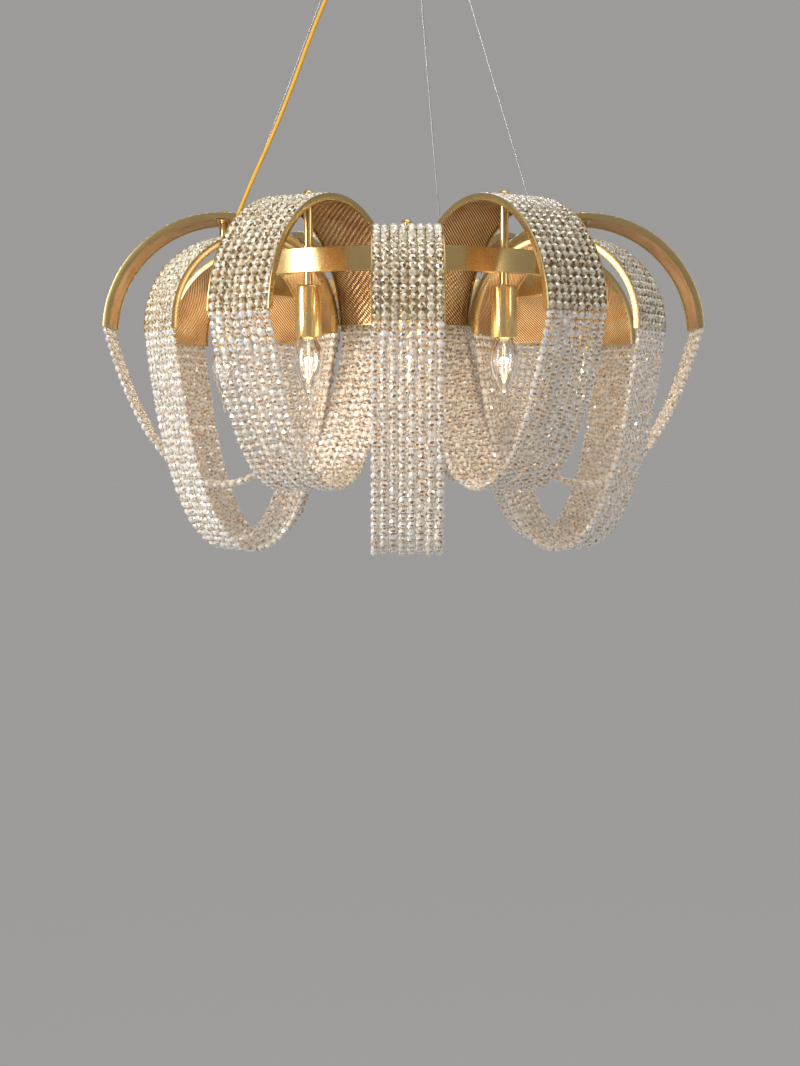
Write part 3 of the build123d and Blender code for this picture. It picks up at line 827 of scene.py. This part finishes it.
def painted_facet_glints(rolls, lying):
    """How bright each facet is painted, from 0 to 1, for beads with the given rolls, on a strap or
    not.
    """
    # a hanging bead is painted with bright wide facets as highlights, dark slim ones between them
    # as shade, and its hole and thread refracted through the waist as a painted dark dot; on a
    # strap its facets are painted dark and bright at random, as painted glints and shade
    shares = draw.uniform(0, 1, (len(rolls), len(bead_faces)))
    painted_glints = facet_low + (facet_high - facet_low) * shares
    facing = np.abs(np.sin(facet_turn + rolls[:, None])) > 0.95
    facing &= waist & (draw.uniform(0, 1, (len(rolls), 1)) < 0.8)
    painted_glints[facing] = 0.02 + 0.12 * shares[facing]
    painted_glints[lying] = 0.95 * shares[lying] ** 1.2
    return painted_glints.ravel()


def bead_strands(kind):
    """Points, faces, finishes and painted glints of the eight strands of one arch, in its own
    plane.
    """
    radius = hoop_radius[kind] - floor_depth + bead_rise
    line, over_count = strand_line(radius, strap_leg[kind], swag_drop[kind])
    steps = np.linalg.norm(np.diff(line, axis=0), axis=1)
    place = np.concatenate([[0], np.cumsum(steps)])
    count = int(round(place[-1] / bead_pitch))
    spots = (np.arange(count) + 0.5) * place[-1] / count
    bodies, threads, rolls, lying = [], [], [], []
    for strand in range(strand_count):
        middles, axes, roll, size, on_strap = lay_strand(
            strand, line, place, place[over_count - 1], spots
        )
        bodies.append(bead_bodies(middles, axes, roll, size))
        threads.append(thread_through(middles, axes[0], axes[1]))
        rolls.append(roll)
        lying.append(on_strap)
    rolls, lying = np.concatenate(rolls), np.concatenate(lying)
    beads = np.concatenate(bodies)
    first_corners = range(0, len(beads) * len(bead_points), len(bead_points))
    all_beads = (
        beads.reshape(-1, 3).tolist(),
        [[first + corner for corner in face] for first in first_corners for face in bead_faces],
    )
    all_threads = joined(threads)
    thread_count = len(all_threads[1])
    finishes = np.where(lying, lying_on_strap, hanging)
    finishes = np.repeat(finishes, len(bead_faces)).tolist() + [thread_finish] * thread_count
    painted_glints = np.concatenate([painted_facet_glints(rolls, lying), np.ones(thread_count)])
    points, faces = joined([all_beads, all_threads])
    return points, faces, finishes, painted_glints.astype(np.float32)


for number, angle in enumerate(arch_angles, 1):
    points, faces, finishes, painted_glints = bead_strands(arch_kind(angle))
    beads = add_mesh(
        f"beads_{number:02d}", points, faces, crystal_finishes, face_material=finishes
    )
    values = beads.data.attributes.new("painted_glint", "FLOAT", "FACE")
    values.data.foreach_set("value", painted_glints)
    beads.data.transform(arch_turn(angle))
    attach(beads, "lamp")
    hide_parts(f"bead_net_{number:02d}")


# ------------------------------------------------------------------ lampholders and their covers
# Under the ring hang short gold tubes, each with a spun and polished brass cover over a ceramic
# holder for a small screw cap.
light_angles = [0, 30, 90, 150, 180, 210, 270, 330]
cover_top = -0.488
cover_mouth = -0.553
cover_radius = 0.01625
cover_wall = 0.0012
cover_bore = 0.0049
cover_profile = [
    (cover_bore, cover_top - cover_wall),
    (cover_bore, cover_top),
    (0.0110, cover_top),
    (0.0132, cover_top - 0.0004),
    (0.0148, cover_top - 0.0013),
    (0.0158, cover_top - 0.0026),
    (cover_radius, cover_top - 0.0042),
    (cover_radius, cover_mouth + 0.0008),
    (cover_radius - 0.0003, cover_mouth + 0.0002),
    (cover_radius - 0.0006, cover_mouth),
    (cover_radius - 0.0010, cover_mouth + 0.0002),
    (cover_radius - cover_wall, cover_mouth + 0.0008),
    (cover_radius - cover_wall, cover_top - 0.0044),
    (0.0120, cover_top - cover_wall),
    (cover_bore, cover_top - cover_wall),
]
neck_radius, neck_bore, neck_collar = 0.0055, 0.0026, 0.0062
neck_profile = [
    (neck_bore, ring_bottom),
    (neck_radius, ring_bottom),
    (neck_radius, cover_top + 0.0022),
    (neck_collar, cover_top + 0.0018),
    (neck_collar, cover_top + 0.0004),
    (neck_collar - 0.0004, cover_top),
    (neck_bore, cover_top),
]
covers, necks = [], []
for angle in light_angles:
    centre = plan(arch_circle, angle)
    covers.append(turned(cover_profile, centre, sides=64))
    necks.append(turned(neck_profile, centre))
for name, parts, node in (
    ("socket_cover_shells", covers, "socket_covers"),
    ("lamp_neck_tubes", necks, "lamp_necks"),
):
    piece = add_mesh(name, *joined(parts), [polished_gold], smooth=True)
    sharpen(piece)
    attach(piece, "lamp")
    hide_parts(node)
ceramic = speckled(
    "glazed_ceramic",
    160.0,
    4.0,
    (0.84, 0.81, 0.74),
    (0.92, 0.90, 0.86),
    relief=0.1,
    Roughness=0.3,
    Coat_Weight=0.4,
)
dress("lampholders", ceramic)


# ------------------------------------------------------------------ bulbs
# Clear candle bulbs with a drawn-out, slightly bent tip, blown from glass and cemented into
# aluminium screw caps. Inside, a glass stem carries two glowing filaments that lean together.
glass_top = -0.548
glass_outline = [
    (0.0108, 0.000),
    (0.0110, 0.005),
    (0.0118, 0.008),
    (0.0137, 0.012),
    (0.0156, 0.017),
    (0.0169, 0.022),
    (0.0175, 0.028),
    (0.0175, 0.034),
    (0.0170, 0.040),
    (0.0158, 0.046),
    (0.0138, 0.052),
    (0.0112, 0.0575),
    (0.0084, 0.063),
    (0.0059, 0.068),
    (0.0040, 0.072),
    (0.0029, 0.076),
    (0.0022, 0.081),
    (0.0017, 0.086),
    (0.0012, 0.0905),
    (0.0007, 0.0925),
    (0.0, 0.0930),
]
glass_thickness = 0.0009
# the last points of the outline are solid glass, and below tip_start the tip bends to one side
solid_points = 7
tip_start, tip_bend = glass_top - 0.066, 4.0
cap_bottom = -0.543
cap_top = -0.518
cap_radius, thread_depth = 0.0064, 0.0005
thread_turns, steps_per_turn = 7, 6
stem_bottom = glass_top - 0.029
filament_bottom = glass_top - 0.061
# half the distance between the two filaments
gap_at_stem, gap_at_bottom = 0.0044, 0.0010
bulb_power, bulb_colour = 0.23, (1.0, 0.80, 0.56)

clear_glass, tree, shader = node_material(
    "bulb_glass_clear", Roughness=0.0, IOR=1.45, Transmission_Weight=1.0
)
smoke = add_node(tree, "TexNoise", Scale=25.0, Detail=2.0)
rim = add_node(tree, "LayerWeight", Blend=0.35)
mix = add_node(tree, "Mix", data_type="RGBA", blend_type="MULTIPLY")
mix.inputs["Factor"].default_value = 1.0
clear = ramp(tree, smoke.outputs["Fac"], [(0.3, (0.97, 0.95, 0.92)), (0.7, (1.0, 0.99, 0.97))])
# the clear glass is tinted darker and warmer towards its rim as seen: a painted refraction at the
# edge of the glass
painted_rim = ramp(tree, rim.outputs["Facing"], [(0.55, (1.0, 1.0, 1.0)), (0.95, (0.72, 0.62, 0.50))])
tree.links.new(clear, mix.inputs["A"])
tree.links.new(painted_rim, mix.inputs["B"])
tree.links.new(mix.outputs["Result"], shader.inputs["Base Color"])
aluminium = speckled(
    "cap_aluminium",
    90.0,
    4.0,
    (0.66, 0.65, 0.62),
    (0.82, 0.81, 0.79),
    relief=0.2,
    Metallic=1.0,
    Roughness=0.3,
)
glow, tree, shader = node_material("filament_glow", Roughness=0.5)
place = add_node(tree, "TexCoord")
axes = add_node(tree, "SeparateXYZ")
tree.links.new(place.outputs["Object"], axes.inputs["Vector"])
heat = add_node(tree, "MapRange")
heat.inputs["From Min"].default_value = filament_bottom
heat.inputs["From Max"].default_value = stem_bottom
tree.links.new(axes.outputs["Z"], heat.inputs["Value"])
fleck = add_node(tree, "TexNoise", Scale=120.0, Detail=1.0)
mix = add_node(tree, "Mix", data_type="RGBA", blend_type="MULTIPLY")
mix.inputs["Factor"].default_value = 0.3
hot = ramp(
    tree,
    heat.outputs["Result"],
    [(0.0, (0.36, 0.20, 0.08)), (0.6, (0.60, 0.38, 0.18)), (0.9, (1.0, 0.86, 0.62))],
)
tree.links.new(hot, mix.inputs["A"])
tree.links.new(fleck.outputs["Fac"], mix.inputs["B"])
tree.links.new(mix.outputs["Result"], shader.inputs["Emission Color"])
shader.inputs["Emission Strength"].default_value = 6.0

outside = [(radius, glass_top - depth) for radius, depth in glass_outline]
inside = [(radius - glass_thickness, height) for radius, height in outside[:-solid_points]]
inside.append((0.0, outside[1 - solid_points][1]))
envelope_profile = inside[::-1] + outside

cap_profile = [(0.0, cap_top + 0.002), (0.0032, cap_top + 0.002), (0.0035, cap_top + 0.0014)]
cap_profile += [(0.0038, cap_top), (0.0058, cap_top - 0.0006)]
thread_steps = thread_turns * steps_per_turn
for step in range(thread_steps + 1):
    height = cap_top - 0.0016 - step * (cap_top - cap_bottom - 0.005) / thread_steps
    wave = math.cos(2 * math.pi * step / steps_per_turn)
    cap_profile.append((cap_radius + thread_depth * wave, height))
cap_profile += [
    (0.0066, cap_bottom + 0.0024),
    (0.0080, cap_bottom + 0.0004),
    (0.0100, cap_bottom - 0.0004),
    (0.0105, cap_bottom - 0.0012),
    (0.0105, glass_top + 0.0004),
    (0.0101, glass_top),
    (0.0, glass_top),
]
stem_profile = [
    (0.0, glass_top),
    (0.0042, glass_top),
    (0.0030, glass_top - 0.006),
    (0.0022, glass_top - 0.014),
    (0.0026, stem_bottom),
    (0.0, stem_bottom - 0.002),
]
filament_profile = [
    (0.0, stem_bottom),
    (0.0016, stem_bottom - 0.001),
    (0.0017, stem_bottom - 0.004),
    (0.0006, stem_bottom - 0.009),
    (0.0005, filament_bottom + 0.0010),
    (0.0, filament_bottom),
]


def envelope(x, y, bend):
    """Points and faces of the blown glass of a bulb at (x, y), its tip bent towards one side."""
    points, faces = turned(envelope_profile, (x, y), sides=40)
    bent = []
    for px, py, pz in points:
        lean = tip_bend * max(0.0, tip_start - pz) ** 2
        bent.append((px + lean * math.cos(bend), py + lean * math.sin(bend), pz))
    return bent, faces


def filament_pair(x, y, swing):
    """Points and faces of two filaments in a plane turned by an angle, closer at the bottom."""
    parts = []
    for side in (-1, 1):
        points, faces = turned(filament_profile, (0.0, 0.0), sides=10)
        leaned = []
        for px, py, pz in points:
            share = (stem_bottom - pz) / (stem_bottom - filament_bottom)
            across = px + side * (gap_at_stem * (1 - share) + gap_at_bottom * share)
            leaned.append(
                (
                    x + across * math.cos(swing) - py * math.sin(swing),
                    y + across * math.sin(swing) + py * math.cos(swing),
                    pz,
                )
            )
        parts.append((leaned, faces))
    return joined(parts)


for number, angle in enumerate(light_angles, 1):
    x, y = plan(arch_circle, angle)
    glass = envelope(x, y, math.radians(25 + 40 * number))
    for name, shape, material, node, slot in (
        ("envelope", glass, clear_glass, "bulb_glass", "bulb_glass"),
        ("cap", turned(cap_profile, (x, y), sides=40), aluminium, "bulb_cap", "bulb_cap"),
        ("stem", turned(stem_profile, (x, y), sides=20), clear_glass, "bulb_cap", "bulb_glass"),
        ("filaments", filament_pair(x, y, math.radians(angle)), glow, "bulb_cap", "bulb_glass"),
    ):
        piece = add_mesh(f"bulb_{number}_{name}", *shape, [material], smooth=True)
        if name == "cap":
            sharpen(piece, 50)
        else:
            # thin glass and glowing wire throw no shadow
            piece.visible_shadow = False
        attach(piece, f"bulb_{number}")
        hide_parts(f"{node}_{number}")

    # the light goes with the filaments, the last piece made
    lamp = bpy.data.lights.new(f"bulb_light_{number}", "POINT")
    lamp.energy = bulb_power
    lamp.color = bulb_colour
    lamp.shadow_soft_size = 0.008
    shine = bpy.data.objects.new(lamp.name, lamp)
    shine.location = (x, y, glass_top - 0.035)
    shine.visible_camera = False
    shine.visible_transmission = False
    shine.parent = piece
    bpy.context.collection.objects.link(shine)


# ------------------------------------------------------------------ floor and light
# A plain pale floor well below the lamp and pale grey all round. One tall soft light stands to the
# left, a narrower and weaker one to the right, and one hangs overhead.
floor_level = -4.2
floor_reach = 200
pale = (0.669, 0.655, 0.642)
surround = (0.50, 0.50, 0.50)
backdrop = (0.335, 0.328, 0.32)
pale_floor = speckled(
    "pale_floor", 1.5, 2.0, pale, tuple(1.02 * value for value in pale), Roughness=0.8
)
corners = [
    (x * floor_reach, y * floor_reach, floor_level)
    for x, y in ((-1, -1), (1, -1), (1, 1), (-1, 1))
]
floor = add_mesh("floor", corners, [[0, 1, 2, 3]], [pale_floor])

# the camera, gloss and glass see the backdrop; everything else is lit by the surround
world = bpy.context.scene.world or bpy.data.worlds.new("world")
bpy.context.scene.world = world
world.use_nodes = True
tree = world.node_tree
rays = add_node(tree, "LightPath")
seen_or_mirrored = add_node(tree, "Math", operation="ADD")
tree.links.new(rays.outputs["Is Camera Ray"], seen_or_mirrored.inputs[0])
tree.links.new(rays.outputs["Is Glossy Ray"], seen_or_mirrored.inputs[1])
shown = add_node(tree, "Math", operation="ADD", use_clamp=True)
tree.links.new(seen_or_mirrored.outputs["Value"], shown.inputs[0])
tree.links.new(rays.outputs["Is Transmission Ray"], shown.inputs[1])
choice = add_node(tree, "Mix", data_type="RGBA")
tree.links.new(shown.outputs["Value"], choice.inputs["Factor"])
choice.inputs["A"].default_value = (*surround, 1)
choice.inputs["B"].default_value = (*backdrop, 1)
tree.links.new(choice.outputs["Result"], tree.nodes["Background"].inputs["Color"])
tree.nodes["Background"].inputs["Strength"].default_value = 1.0


def soft_light(name, place, aim, size, power, colour=(1, 1, 1)):
    """A rectangular soft light aimed at a point."""
    data = bpy.data.lights.new(name, "AREA")
    data.shape = "RECTANGLE"
    data.size, data.size_y = size
    data.energy = power
    data.color = colour
    light = bpy.data.objects.new(name, data)
    light.location = place
    light.rotation_euler = (Vector(aim) - Vector(place)).to_track_quat("-Z", "Y").to_euler()
    bpy.context.collection.objects.link(light)


lamp_middle = (0, 0, -0.6)
soft_light("left_softbox", (-2.1, -1.5, -0.2), lamp_middle, (1.15, 1.8), 66)
soft_light("right_softbox", (2.3, -1.9, 0.2), lamp_middle, (0.45, 1.6), 9)
soft_light("top_softbox", (0.2, -0.3, 1.0), lamp_middle, (1.3, 1.3), 6.5, (0.95, 0.97, 1.0))
bpy.context.scene.view_settings.view_transform = "Standard"
